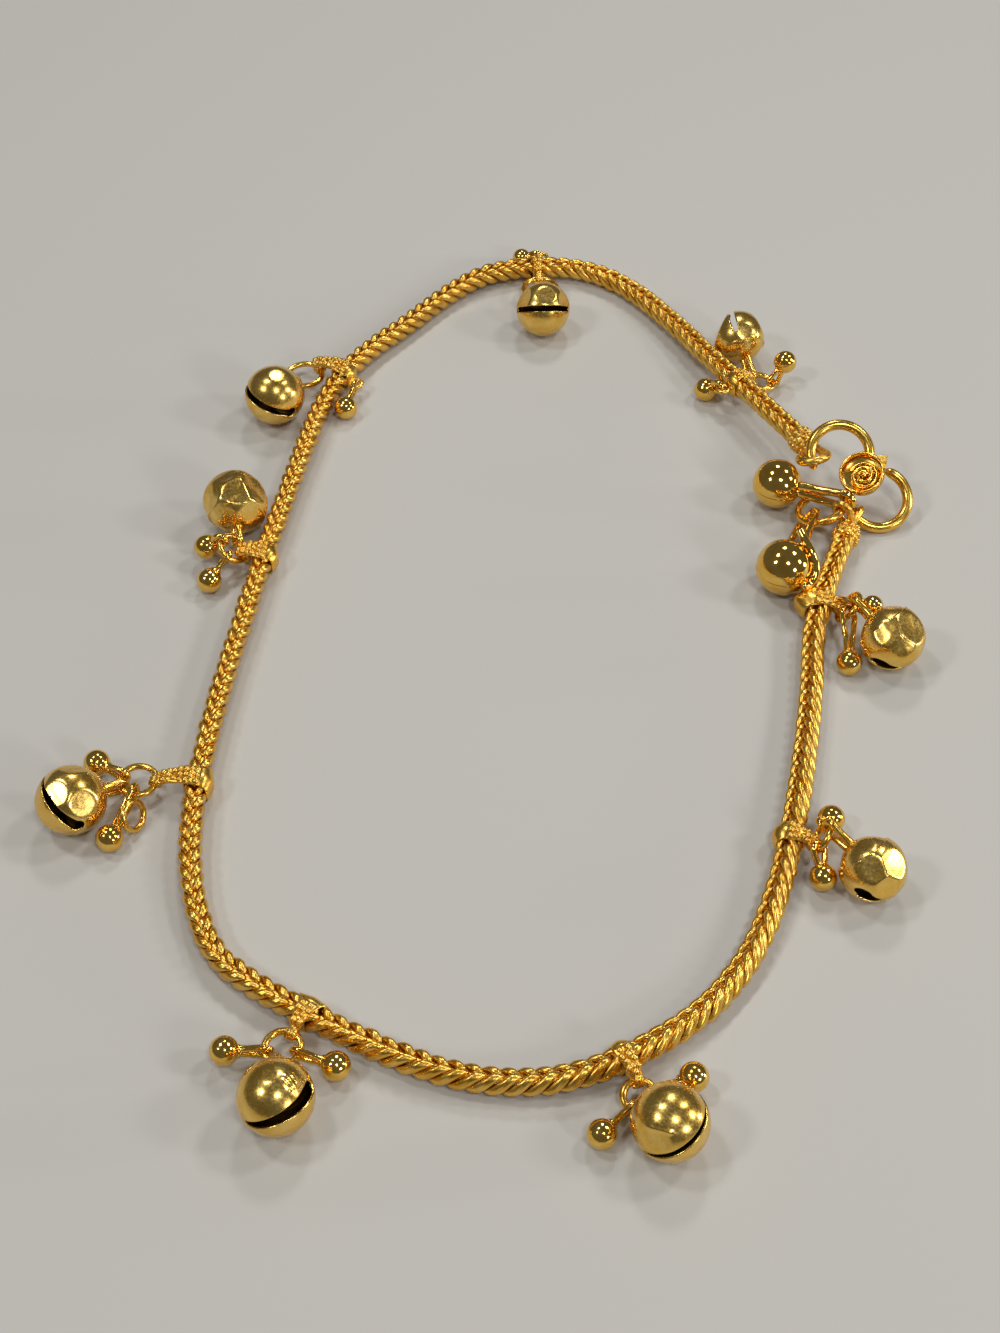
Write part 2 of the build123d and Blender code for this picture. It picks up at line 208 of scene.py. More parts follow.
def wireRing(at, radius, wire, uneven, count=64, sides=14):
    # a closed ring of round wire in the frame's x and y
    a = np.linspace(0, 2 * pi, count, endpoint=False)
    points = toWorld(at, circling(radius, a))
    return sweepTube(points, wire * handmade(count, uneven), sides, closed=True)


def sphereMesh(at, radius, rings=28, sides=40):
    # the frame's x runs out of the pole
    rows = []
    for ring in range(rings + 1):
        t = pi * ring / rings
        a = np.linspace(0, 2 * pi, sides, endpoint=False)
        rows.append(np.stack([np.full(sides, cos(t)), sin(t) * np.cos(a), sin(t) * np.sin(a)], 1))
    return toWorld(at, radius * np.concatenate(rows)), gridFaces(rings + 1, sides, True)


def turnedOver(faces):
    return [face[::-1] for face in faces]


def facingOut(points, faces):
    # a closed shape whose faces were wound inwards has them turned over
    corners = np.array([(face[0], face[i], face[i + 1]) for face in faces for i in range(1, len(face) - 1)])
    a, b, c = (points - points.mean(0))[corners.T]
    return faces if np.sum(a * np.cross(b, c)) > 0 else turnedOver(faces)


def newPiece(name, shapes, finish, nodes, sharp=None, thickness=None, inside=None, weld=True):
    # shapes is a list of (points in mm, faces); together they make one piece
    # with a thickness they are open sheets, and inside is the finish of their hidden face
    verts = []
    faces = []
    start = 0
    for shapeVerts, shapeFaces in shapes:
        shapeVerts = np.asarray(shapeVerts)
        shapeFaces = shapeFaces if thickness else facingOut(shapeVerts, shapeFaces)
        verts.append(shapeVerts * mm)
        faces += [tuple(int(index) + start for index in face) for face in shapeFaces]
        start += len(shapeVerts)
    mesh = bpy.data.meshes.new(name)
    mesh.from_pydata(np.concatenate(verts).tolist(), [], faces)
    mesh.validate()
    piece = newObject(name, mesh)
    if weld:  # the ring of points at a pole becomes one
        join = piece.modifiers.new("weld", "WELD")
        join.merge_threshold = 0.002 * mm
    if thickness:
        solid = piece.modifiers.new("sheet", "SOLIDIFY")
        solid.thickness = thickness * mm
        solid.offset = -1
        solid.material_offset = 1 if inside else 0
    mesh.polygons.foreach_set("use_smooth", [True] * len(mesh.polygons))
    if sharp:
        mesh.set_sharp_from_angle(angle=radians(sharp))
    mesh.materials.append(finish)
    if inside:
        mesh.materials.append(inside)
    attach(piece, "root")
    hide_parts(*nodes)


# where things hang, by the same rules as the CAD model

def clusterFrame(row):
    start, end = route[row["run"]], route[row["run"] + 1]
    place = start + (end - start) * row["share"]
    along = unit(end - start)
    out = unit(np.cross(along, up))
    if np.dot(out, place - loopOffset) < 0:
        out = -out
    out = out * row["side"]
    upright = np.cross(out, along)
    if upright[2] < 0:
        upright = -upright
    return place, along, out, upright


def ringFrame(row):
    place, along, out, upright = clusterFrame(row)
    drop = radians(row["drop"])
    strapWay = out * cos(drop) + upright * sin(drop)
    eye = place + strapWay * row["strap"]
    lean = radians(row["lean"])
    outwards = out * cos(lean) + upright * sin(lean)
    swing = radians(row["swing"])
    centre = eye + (outwards * cos(swing) + along * sin(swing)) * row["ring"]
    return strapWay, eye, centre, outwards, along


def ringPoint(row, angle):
    centre, outwards, along = ringFrame(row)[2:]
    a = radians(angle)
    point = centre + (outwards * cos(a) + along * sin(a)) * row["ring"]
    return point, along * cos(a) - outwards * sin(a)


def sideEyeCentre(row):
    place, along, out, _ = clusterFrame(row)
    return place - out * wires["sideEyePlace"] + along * row["eye"]


def besideChain(row, spot):
    # spot is how far out and along from where the cluster hangs, and its height over the floor
    place, along, out, _ = clusterFrame(row)
    far, sideways, high = spot
    middle = place + out * far + along * sideways
    middle[2] = high
    return middle


def charmHook(row, charm):
    middle = besideChain(row, charm["place"])
    if charm["hook"] is not None:
        point, way = ringPoint(row, charm["hook"])
        return middle, point, way
    centre = sideEyeCentre(row)
    reach = middle - centre
    reach[2] = 0
    reach = unit(reach)
    return middle, centre + reach * wires["sideEyeRadius"], np.cross(up, reach)


def loopFrame(point, way, middle, turn=0):
    # x runs from the wire it hangs on to the charm, and the loop lies in x and y
    reach = unit(middle - point)
    across = unit(way - reach * np.dot(way, reach))
    return makeFrame(point, turnAbout(across, reach, turn), reach)


def wireLoop(at, reach, radius, spread, wire, close=0.0):
    # a loop round the frame's origin, its two legs running out to the charm and drawn together by close
    tangent = atan2(spread, reach) + acos(radius / hypot(reach, spread))
    arc = np.linspace(tangent, 2 * pi - tangent, 34)
    bend = np.stack([radius * np.cos(arc), radius * np.sin(arc)], 1)
    leg = np.linspace(0, 1, 12)[:, None]
    first = np.array([[reach, spread]]) * (1 - leg) + bend[:1] * leg
    second = bend[-1:] * (1 - leg) + np.array([[reach, -spread]]) * leg
    flat = np.concatenate([first, bend[1:-1], second])
    pull = 1 - close * smooth(0.1 * reach, 0.8 * reach, flat[:, 0])
    flat[:, 1] *= pull
    points = toWorld(at, np.concatenate([flat, np.zeros((len(flat), 1))], 1))
    swell = 1 + wires["loopSwell"] * smooth(0.45 * reach, reach, flat[:, 0])
    return sweepTube(points, wire * swell * handmade(len(points), 0.08, closed=False), 14)


# materials

def linear(hexColour):
    channels = [int(hexColour[i:i + 2], 16) / 255 for i in (1, 3, 5)]
    return [c / 12.92 if c <= 0.04045 else ((c + 0.055) / 1.055) ** 2.4 for c in channels] + [1.0]


def addNode(material, kind, settings=None, links=None):
    node = material.node_tree.nodes.new(kind)
    for key, value in (settings or {}).items():
        if key in node.inputs.keys():
            node.inputs[key].default_value = value
        else:
            setattr(node, key, value)
    for key, socket in (links or {}).items():
        material.node_tree.links.new(socket, node.inputs[key])
    return node


def goldMaterial(look):
    # high-karat gold: deep yellow, and every soft mark in it shows in what it reflects
    material = bpy.data.materials.new(look["name"])
    material.use_nodes = True
    material.node_tree.nodes.clear()
    place = addNode(material, "ShaderNodeTexCoord").outputs["Object"]
    noise = "ShaderNodeTexNoise"
    broad, fine = [
        addNode(material, noise, {"Scale": 1 / (size * mm), "Detail": detail}, {"Vector": place})
        for size, detail in ((look["patch"], 2.0), (look["grain"], 3.0))
    ]
    tone = addNode(material, "ShaderNodeValToRGB", links={"Fac": broad.outputs["Fac"]})
    tone.color_ramp.elements[0].position = 0.35
    tone.color_ramp.elements[0].color = linear(look["deep"])
    tone.color_ramp.elements[1].position = 0.65
    tone.color_ramp.elements[1].color = linear(look["pale"])
    smoothest, roughest = look["rough"]
    polish = addNode(
        material, "ShaderNodeMapRange",
        {"From Min": 0.3, "From Max": 0.7, "To Min": smoothest, "To Max": roughest},
        {"Value": fine.outputs["Fac"]},
    )
    dents = addNode(
        material, "ShaderNodeBump",
        {"Strength": look["dent"], "Distance": look["patch"] * mm * 0.12},
        {"Height": broad.outputs["Fac"]},
    )
    scratches = addNode(
        material, "ShaderNodeBump",
        {"Strength": look["mark"], "Distance": look["grain"] * mm * 0.2},
        {"Height": fine.outputs["Fac"], "Normal": dents.outputs["Normal"]},
    )
    shader = addNode(
        material, "ShaderNodeBsdfPrincipled", {"Metallic": 1.0},
        {
            "Base Color": tone.outputs["Color"],
            "Roughness": polish.outputs["Result"],
            "Normal": scratches.outputs["Normal"],
        },
    )
    addNode(material, "ShaderNodeOutputMaterial", links={"Surface": shader.outputs["BSDF"]})
    return material


# each finish: its two tones, the size of its broad patches and fine grain in mm, how rough it runs,
# and how strongly the patches dent it and the grain marks it
golds = dict(
    # drawn wire linked by hand and burnished: bright backs, soft hollows
    woven=dict(
        name="woven gold wire, burnished", deep="#E3AC40", pale="#F3C661",
        patch=1.1, grain=0.3, rough=(0.25, 0.35), dent=0.1, mark=0.04,
    ),
    # thin sheet beaten over a punch: broad soft dents and a satin bloom
    hammered=dict(
        name="hammered gold sheet", deep="#EBBC57", pale="#F6CF74",
        patch=1.6, grain=0.2, rough=(0.17, 0.3), dent=0.16, mark=0.06,
    ),
    # the same sheet's hidden face, painted dark and dull as shade rather than lit, so the mouths look deep
    fired=dict(
        name="gold sheet inside, painted dark as shade", deep="#5A3F16", pale="#7A5720",
        patch=1.6, grain=0.3, rough=(0.5, 0.65), dent=0.1, mark=0.1,
    ),
    # sheet cut, folded and rubbed down: flatter and a little duller
    sheet=dict(
        name="folded gold sheet", deep="#EAB54A", pale="#F5C965",
        patch=1.1, grain=0.25, rough=(0.24, 0.34), dent=0.16, mark=0.06,
    ),
    # cast and tumbled beads: a clear mirror with faint ripples
    bright=dict(
        name="polished gold bead", deep="#F0BE52", pale="#F9D070",
        patch=1.3, grain=0.2, rough=(0.05, 0.12), dent=0.1, mark=0.06,
    ),
    # small beads that have been worn: the same gold, knocked and a little blurred
    worn=dict(
        name="worn gold bead", deep="#F0BE52", pale="#F9D070",
        patch=0.7, grain=0.2, rough=(0.09, 0.17), dent=0.4, mark=0.06,
    ),
    # round wire, soldered and pickled: smooth with slight hollows
    wire=dict(
        name="drawn gold wire", deep="#EDB647", pale="#F8CB63",
        patch=0.9, grain=0.25, rough=(0.18, 0.27), dent=0.12, mark=0.04,
    ),
)
finishes = {key: goldMaterial(look) for key, look in golds.items()}
print("materials made:", len(finishes))


# camera, light and floor

view = dict(pitch=48.0, distance=180.5, aim=(-0.59, -5.41, 0.0), lens=52.66)
lamps = dict(
    far=620.0,  # from the object, mm
    size=95.0,
    power=0.55,
    ways=[  # where the lamps stand over the table: right, back, up
        (0.06, 0.65, 0.76), (0.55, 0.31, 0.78), (0.84, -0.08, 0.53), (-0.39, 0.19, 0.90),
        (0.18, -0.47, 0.86), (0.99, 0.03, 0.15), (0.62, -0.66, 0.43), (-0.62, -0.25, 0.74),
    ],
    world="#8F8D88",
    worldStrength=0.4,
    floor="#C9C6BF",
)


def makeCamera():
    data = bpy.data.cameras.new("camera")
    data.lens = view["lens"]
    data.sensor_fit = "VERTICAL"
    data.sensor_height = 36.0
    data.clip_start = 0.01
    camera = newObject("camera", data)
    pitch = radians(view["pitch"])
    back = np.array([0.0, -cos(pitch), sin(pitch)]) * view["distance"]
    camera.location = (np.array(view["aim"]) + back) * mm
    camera.rotation_euler = (pi / 2 - pitch, 0, 0)
    bpy.context.scene.camera = camera


def makeLamp(name, way):
    data = bpy.data.lights.new(name, "AREA")
    data.shape = "DISK"
    data.size = lamps["size"] * mm
    data.energy = lamps["power"]
    lamp = newObject(name, data)
    z = unit(way)
    x = unit(np.cross([0.0, 1.0, 0.0], z))
    y = np.cross(z, x)
    far = lamps["far"] * mm
    lamp.matrix_world = Matrix([[x[i], y[i], z[i], z[i] * far] for i in range(3)] + [[0, 0, 0, 1]])


def makeFloor():
    size = 3.0
    corners = [(-size, -size, 0), (size, -size, 0), (size, size, 0), (-size, size, 0)]
    mesh = bpy.data.meshes.new("floor")
    mesh.from_pydata(corners, [], [(0, 1, 2, 3)])
    floor = newObject("floor", mesh)
    material = bpy.data.materials.new("plain pale floor")
    material.use_nodes = True
    shader = material.node_tree.nodes["Principled BSDF"]
    shader.inputs["Base Color"].default_value = linear(lamps["floor"])
    shader.inputs["Roughness"].default_value = 0.6
    mesh.materials.append(material)


def makeWorld():
    world = bpy.data.worlds.new("studio")
    world.use_nodes = True
    background = world.node_tree.nodes["Background"]
    background.inputs["Color"].default_value = linear(lamps["world"])
    background.inputs["Strength"].default_value = lamps["worldStrength"]
    bpy.context.scene.world = world


makeCamera()
for number, way in enumerate(lamps["ways"], 1):
    makeLamp(f"lamp {number}", way)
makeFloor()
makeWorld()
bpy.context.scene.view_settings.view_transform = "Standard"
print("camera, lamps and floor made")


# the woven chain

def chainCurve():
    # the route as one smooth line
    curve = bpy.data.curves.new("chain line", "CURVE")
    curve.dimensions = "3D"
    curve.resolution_u = 24
    spline = curve.splines.new("NURBS")
    spline.points.add(len(route) - 1)
    for point, place in zip(spline.points, route):
        point.co = (*(place * mm), 1)
    spline.order_u = 3
    spline.use_endpoint_u = True
    holder = newObject("chain line", curve)
    bpy.context.view_layer.update()
    mesh = bpy.data.meshes.new_from_object(holder.evaluated_get(bpy.context.evaluated_depsgraph_get()))
    line = np.array([vertex.co for vertex in mesh.vertices]) / mm
    bpy.data.objects.remove(holder)
    bpy.data.meshes.remove(mesh)
    return line


def resample(line, spacing):
    steps = np.concatenate([[0], np.cumsum(np.linalg.norm(np.diff(line, axis=0), axis=1))])
    count = int(steps[-1] / spacing) + 1
    even = np.linspace(0, steps[-1], count)
    return np.stack([np.interp(even, steps, line[:, i]) for i in range(3)], 1), even


def alongChain(line, lengths, s, u, v):
    # a point at length s, u to the right of the chain and v above its middle
    place = np.stack([np.interp(s, lengths, line[:, i]) for i in range(3)], -1)
    tangents = np.gradient(line, axis=0)
    way = np.stack([np.interp(s, lengths, tangents[:, i]) for i in range(3)], -1)
    way /= np.linalg.norm(way, axis=-1, keepdims=True)
    right = np.cross(way, up)
    right /= np.linalg.norm(right, axis=-1, keepdims=True)
    high = np.cross(right, way)
    roll = np.interp(s / lengths[-1], chain["rolls"]["share"], chain["rolls"]["turn"])
    roll = np.radians(roll + chain["sway"] * np.sin(s * 0.11 + 0.6) * np.sin(s * 0.043 + 1.0))
    place[..., 2] += chain["lift"]
    turnedU = u * np.cos(roll) - v * np.sin(roll)
    turnedV = u * np.sin(roll) + v * np.cos(roll)
    return place + turnedU[..., None] * right + turnedV[..., None] * high


# half a link of doubled wire, from the middle of the top down to the middle of the bottom:
# sideways, up, along, half its width and half its thickness
halfLink = np.array([
    (0.07, 0.42, 0.60, 0.30, 0.20),
    (0.20, 0.58, 0.50, 0.52, 0.32),
    (0.42, 0.65, 0.24, 0.64, 0.38),
    (0.62, 0.58, -0.08, 0.67, 0.37),
    (0.73, 0.34, -0.40, 0.67, 0.31),
    (0.77, 0.00, -0.76, 0.67, 0.27),
    (0.74, -0.34, -1.10, 0.67, 0.29),
    (0.62, -0.60, -1.40, 0.65, 0.33),
    (0.38, -0.68, -1.64, 0.60, 0.34),
    (0.10, -0.58, -1.82, 0.45, 0.24),
])
# across the doubled wire: a round back with a shallow crease between its strands, and a flat inside
linkTop = [
    (x, (1 - x * x) ** 0.75 - 0.09 * exp(-((x / 0.2) ** 2)))
    for x in (1, 0.93, 0.78, 0.6, 0.42, 0.24, 0.1, 0, -0.1, -0.24, -0.42, -0.6, -0.78, -0.93, -1)
]
linkSection = np.array(linkTop + [(-0.6, -0.5), (0.0, -0.6), (0.6, -0.5)])


def linkShape(steps=14):
    # one half link as (along, sideways, up) points; its section is as wide as given, measured along the chain
    sides = len(linkSection)
    t = np.linspace(0, len(halfLink) - 1, steps)
    rows = np.stack([np.interp(t, range(len(halfLink)), halfLink[:, i]) for i in range(5)], 1)
    for i in range(3):  # a soft path through the rows
        padded = np.concatenate([[rows[0, i]], rows[:, i], [rows[-1, i]]])
        rows[:, i] = 0.25 * padded[:-2] + 0.5 * padded[1:-1] + 0.25 * padded[2:]
    path = rows[:, [2, 0, 1]]
    turning = np.gradient(path[:, 1:], axis=0)
    outward = np.stack([np.zeros(steps), -turning[:, 1], turning[:, 0]], 1)
    outward /= np.linalg.norm(outward, axis=1)[:, None]
    wide = linkSection[None, :, 0] * rows[:, 3:4]
    thick = linkSection[None, :, 1] * rows[:, 4:5]
    verts = path[:, None] + wide[..., None] * np.array([1.0, 0, 0]) + thick[..., None] * outward[:, None]
    return verts.reshape(-1, 3), gridFaces(steps, sides, True) + endFaces(steps, sides)


def makeChain():
    line, lengths = resample(chainCurve(), chain["step"])
    shape, faces = linkShape()
    count = int((lengths[-1] + chain["past"]) / chain["pitch"])
    shapes = []
    for hand, lead in ((1, 0.0), (-1, chain["stagger"])):
        for start in chain["first"] + chain["pitch"] * np.arange(count):
            # each half link sits a little further on, and is a little wider or taller, than the next
            further, wider, taller = dice.normal(0, chain["uneven"], 3)
            s = start + lead + shape[:, 0] + further
            u = hand * shape[:, 1] * (1 + wider)
            v = shape[:, 2] * (1 + taller * 0.6)
            shapes.append((alongChain(line, lengths, s, u, v), faces))
    # a plain filling keeps the gaps between the columns from showing through
    wide, high = chain["core"]
    edges = [
        alongChain(line, lengths, lengths, np.full(len(lengths), x), np.full(len(lengths), y))
        for x, y in ((wide, high), (-wide, high), (-wide, -high), (wide, -high))
    ]
    coreFaces = gridFaces(len(lengths), 4, True) + endFaces(len(lengths), 4)
    shapes.append((np.stack(edges, 1).reshape(-1, 3), coreFaces))
    newPiece("woven_chain", shapes, finishes["woven"], ["chain"], weld=False)
    print("chain woven:", 2 * count, "half links over", round(lengths[-1], 1), "mm")


makeChain()


# bells

# place is how far out and along from where it hangs, and how high; hook is where on the ring, in degrees
# turn and tilt set its slot, slot and reach are the slot's width and length at its two ends,
# keyhole is the radius of a round end, and a dent is its way from the middle and its depth
bells = [
    dict(
        place=(4.1, 6.1, 2.8), hook=95, radius=2.8, turn=50, slot=(0.65, 0.65), reach=(100, 100),
        dents=[((-0.9, 0.4, 0.15), 0.8), ((0.9, 0.4, 0.15), 0.7), ((0.1, -0.6, 0.8), 0.1)], crumple=0.02,
    ),
    dict(
        place=(9.5, 0.3, 2.9), hook=0, radius=2.9, turn=-1, tilt=20, slot=(0.62, 0.66), reach=(100, 100),
        dents=[((-0.8, -0.1, 0.55), 0.35), ((0.1, -0.3, 0.95), 0.2), ((0.85, -0.2, 0.5), 0.25)],
        crumple=0.03,
    ),
    dict(
        place=(3.5, 7.8, 3.05), hook=95, radius=3.05, turn=-20, tilt=6, slot=(0.85, 0.75), reach=(95, 82),
        keyhole=(0.0, 0.6), dents=[((0.2, -0.1, 0.97), 0.12)], crumple=0.015,
    ),
    dict(
        place=(4.0, -5.3, 3.2), hook=-95, radius=3.2, turn=-40, slot=(0.7, 0.7), reach=(85, 85),
        keyhole=(0.5, 0.5),
        dents=[
            ((-0.75, -0.35, 0.55), 0.35), ((0.15, -0.45, 0.88), 0.32), ((0.75, 0.0, 0.66), 0.45),
            ((-0.25, -0.9, 0.35), 0.3), ((0.55, -0.8, 0.25), 0.3), ((-0.3, 0.3, 0.9), 0.25),
        ],
        crumple=0.09,
    ),
    dict(
        place=(10.0, 3.8, 3.05), hook=30, radius=3.04, turn=-11, tilt=-26, slot=(0.05, 1.1), reach=(100, 84),
        keyhole=(0.0, 0.65),
        dents=[
            ((-0.25, -0.45, 0.86), 0.22), ((0.55, -0.6, 0.58), 0.25), ((0.1, 0.5, 0.85), 0.2),
            ((-0.5, -0.85, 0.1), 0.2),
        ],
        crumple=0.05,
    ),
    dict(
        place=(8.0, 2.7, 3.05), hook=20, radius=3.01, turn=27, tilt=2, slot=(0.45, 1.3), reach=(88, 88),
        dents=[((-0.1, 0.1, 0.98), 0.05), ((0.75, -0.1, 0.66), 0.12)], crumple=0.012,
        ridges=[
            ((0.36, -0.18, 0.91), (0.68, 0.73, -0.13), 0.22), ((0.45, -0.06, 0.89), (0.68, 0.73, -0.13), 0.3),
            ((0.52, 0.05, 0.85), (0.68, 0.73, -0.13), 0.22),
        ],
    ),
    dict(
        place=(7.1, -0.1, 3.05), hook=45, radius=3.03, turn=-20, tilt=15, slot=(0.7, 0.35), reach=(92, 100),
        dents=[((-0.42, -0.78, 0.46), 0.22), ((0.75, 0.45, 0.5), 0.08)], crumple=0.012,
        ridges=[((-0.35, -0.62, 0.7), (0.1, 0.68, 0.72), 0.45)],
    ),
    dict(
        place=(7.1, -2.3, 2.9), hook=0, radius=2.85, turn=0, tilt=20, slot=(1.8, 0.1), reach=(84, 90),
        keyhole=(0.9, 0.0),
        dents=[
            ((0.55, -0.35, 0.75), 0.35), ((-0.15, -0.6, 0.78), 0.25), ((-0.3, 0.25, 0.92), 0.2),
            ((0.3, -0.9, 0.3), 0.2),
        ],
        crumple=0.06,
    ),
    dict(
        place=(7.25, -3.6, 3.05), hook=-20, radius=3.05, turn=-5, tilt=24, slot=(2.2, 0.15), reach=(84, 90),
        keyhole=(1.1, 0.0),
        dents=[
            ((0.5, -0.3, 0.8), 0.46), ((-0.3, -0.5, 0.8), 0.32), ((0.15, -0.85, 0.5), 0.22),
            ((-0.05, 0.6, 0.8), 0.2),
        ],
        crumple=0.06,
    ),
]
bellSheet = dict(
    thickness=0.24,
    seam=122.0,  # where the two jaws stop and the cup behind them starts, degrees from the mouth
    ledge=0.1,  # the jaws stand this far over the cup
    lip=0.05,
    slotEnd=118.0,
    spread=0.75,  # the share of the radius over which a jaw gives way to the slot
    dentEdge=0.025,  # how softly a dent starts, as a share of the radius
    ridge=(0.035, 0.05),  # a ridge's height and half its width, as shares of the radius
    creases=6,
    creaseRate=(1.6, 3.4),  # how close together they run, at the least and the most
    loopSpread=0.34,
    loopWire=1.2,  # how much thicker its loop is than a small ball's
)


def bellHalf(bell, hand):
    # one jaw of the bell: rows from the mouth back to the loop, columns from one end of the slot to the other
    radius = bell["radius"]
    seam = bellSheet["seam"]
    nearSeam = seam + np.array([-3, -2, -1.2, -0.5, 0, 0.25, 1])
    rows = np.concatenate([np.arange(0, seam - 4, 2.5), nearSeam, np.arange(seam + 3, 179, 4), [180]])
    columns = np.linspace(0, 180, 61)
    theta, phi = np.meshgrid(np.radians(rows), np.radians(columns), indexing="ij")
    x = np.sin(theta) * np.cos(phi)
    y = np.sin(theta) * np.sin(phi)
    z = np.cos(theta)
    # the slot: along it, how far from the mouth's middle, and how wide it is there
    along = np.degrees(np.arctan2(x, z))
    first, second = bell["reach"]
    firstWidth, secondWidth = bell["slot"]
    firstHole, secondHole = bell.get("keyhole", (0.0, 0.0))
    width = firstWidth + (secondWidth - firstWidth) * np.clip((along + first) / (first + second), 0, 1)
    for end, way, hole in ((first, -1, firstHole), (second, 1, secondHole)):
        toEnd = radius * np.radians(end - way * along)
        if hole:
            width = np.maximum(width, 2 * np.sqrt(np.clip(hole**2 - (toEnd - hole) ** 2, 0, None)))
        closing = np.clip(toEnd / (0.5 * np.maximum(width, 0.05)), 0, 1)
        width = width * np.sqrt(1 - (1 - closing) ** 2)
    half = 0.5 * width / radius * (theta < radians(bellSheet["slotEnd"]))
    spread = bellSheet["spread"]
    y = np.where(y < spread, half + y * (spread - half) / spread, y)
    length = np.sqrt(x * x + y * y + z * z)
    x, y, z = x / length, y / length, z / length
    fold = np.degrees(theta)
    size = radius - bellSheet["ledge"] * smooth(seam - 0.1, seam + 0.5, fold)
    size = size + bellSheet["lip"] * np.exp(-(((fold - seam + 1.4) / 1.6) ** 2)) * (fold < seam + 0.2)
    return np.stack([x, hand * y, z], -1), size


def dentSize(ways, size, dents, radius):
    # each dent flattens the ball towards a plane, softly at its edge
    blend = bellSheet["dentEdge"] * radius
    for way, depth in dents:
        facing = ways @ unit(way)
        flat = (radius - depth) / np.maximum(facing, 0.2)
        h = np.clip(0.5 + 0.5 * (flat - size) / blend, 0, 1)
        size = flat * (1 - h) + size * h - blend * h * (1 - h)
    return size


def ridgeSize(ways, ridges, radius):
    # short pinched ridges: where each one's middle is, the way across it and its reach
    high, wide = bellSheet["ridge"]
    size = np.zeros(len(ways))
    for middle, across, reach in ridges:
        middle = unit(middle)
        across = unit(np.asarray(across) - middle * np.dot(across, middle))
        lengthwise = np.cross(middle, across)
        fade = 1 - smooth(0.5 * reach, reach, np.abs(ways @ lengthwise))
        size += high * radius * np.exp(-(((ways @ across) / wide) ** 2)) * fade * (ways @ middle > 0)
    return size


def creases(ways, depth):
    # thin sheet gives way along straight folds: a few random ridges that run round the ball
    size = np.zeros(len(ways))
    for _ in range(bellSheet["creases"]):
        fold = unit(dice.normal(0, 1, 3)) * dice.uniform(*bellSheet["creaseRate"])
        size -= depth * np.abs(np.sin(ways @ fold + dice.uniform(0, pi))) ** 0.8
    return size + depth * 3.4


def makeBell(number, row, bell):
    middle, point, way = charmHook(row, bell)
    hanging = loopFrame(point, way, middle)
    turned = turnAbout(hanging["z"], hanging["x"], bell["turn"])
    mouth = turnAbout(hanging["x"], turned, bell.get("tilt", 0))
    body = makeFrame(middle, mouth, turned)
    axes = np.array([body["x"], body["y"], body["z"]])
    halves = [bellHalf(bell, hand) for hand in (1, -1)]
    allWays = np.concatenate([local.reshape(-1, 3) for local, _ in halves]) @ axes
    folds = np.split(creases(allWays, bell["crumple"]), 2)
    shapes = []
    for hand, (local, size), fold in zip((1, -1), halves, folds):
        rows, columns = size.shape
        ways = local.reshape(-1, 3) @ axes
        far = dentSize(ways, size.reshape(-1), bell["dents"], bell["radius"]) + np.minimum(fold, 0)
        far = far + ridgeSize(ways, bell.get("ridges", []), bell["radius"])
        faces = gridFaces(rows, columns, False)
        shapes.append((middle + ways * far[:, None], faces if hand < 0 else turnedOver(faces)))
    # the sheet's inner face takes the painted-shade finish, dark so the slot reads as a deep shadowed mouth
    newPiece(
        f"bell_sheet_{number}", shapes, finishes["hammered"], [f"bell_{number}"],
        thickness=bellSheet["thickness"], inside=finishes["fired"],
    )
    reach = np.linalg.norm(middle - point) - bell["radius"] + wires["loopSink"]
    wire = wires["loop"] * bellSheet["loopWire"]
    loop = wireLoop(hanging, reach, wires["loopRadius"], bellSheet["loopSpread"], wire)
    newPiece(f"bell_loop_{number}", [loop], finishes["wire"], [])


for number, (row, bell) in enumerate(zip(clusters, bells), 1):
    makeBell(number, row, bell)
print("bells beaten:", len(bells))


# small balls on their loops

# place and hook are as for the bells; without a hook, it hangs in the eye on the inner side
balls = {
    "1a": dict(place=(-2.6, 2.1, 1.2), hook=None, loop=0.5),
    "1b": dict(place=(6.2, 0.4, 2.6), hook=-15, loop=0.54),
    "2a": dict(place=(-2.55, 1.4, 1.0), hook=None, loop=0.5, radius=1.0),
    "3a": dict(place=(-2.85, 4.3, 1.2), hook=None, loop=0.5),
    "4a": dict(place=(5.7, -0.2, 1.8), hook=0),
    "4b": dict(place=(4.4, 3.7, 1.3), hook=80),
    "5a": dict(place=(9.1, -1.5, 1.6), hook=-20),
    "5b": dict(place=(6.4, 6.3, 1.3), hook=85, loop=0.85),
    "6a": dict(place=(6.1, -3.6, 1.7), hook=-50),
    "6b": dict(place=(2.7, 4.5, 1.3), hook=100),
    "7a": dict(place=(4.8, -4.6, 1.2), hook=-70),
    "7b": dict(place=(4.0, 3.9, 1.7), hook=90),
    "8a": dict(place=(2.9, 3.1, 1.4), hook=95),
    "8b": dict(place=(3.3, -3.1, 1.3), hook=-90),
    "9a": dict(place=(4.0, -6.15, 1.2), hook=-75, loop=0.85),
    "9b": dict(place=(4.8, -0.2, 3.1), hook=115, radius=1.0),
}


ballShape = dict(
    radius=1.2,
    bead=0.995,  # the bead fills this share of it
    legs=0.27,  # half the gap between its loop's legs at the bead's middle
    drawn=0.25,  # how far the legs are drawn together
    collar=0.34,  # the ring of solder round the legs
    collarWire=0.22,
    collarPlace=0.93,  # how far out it sits, as a share of the radius
)


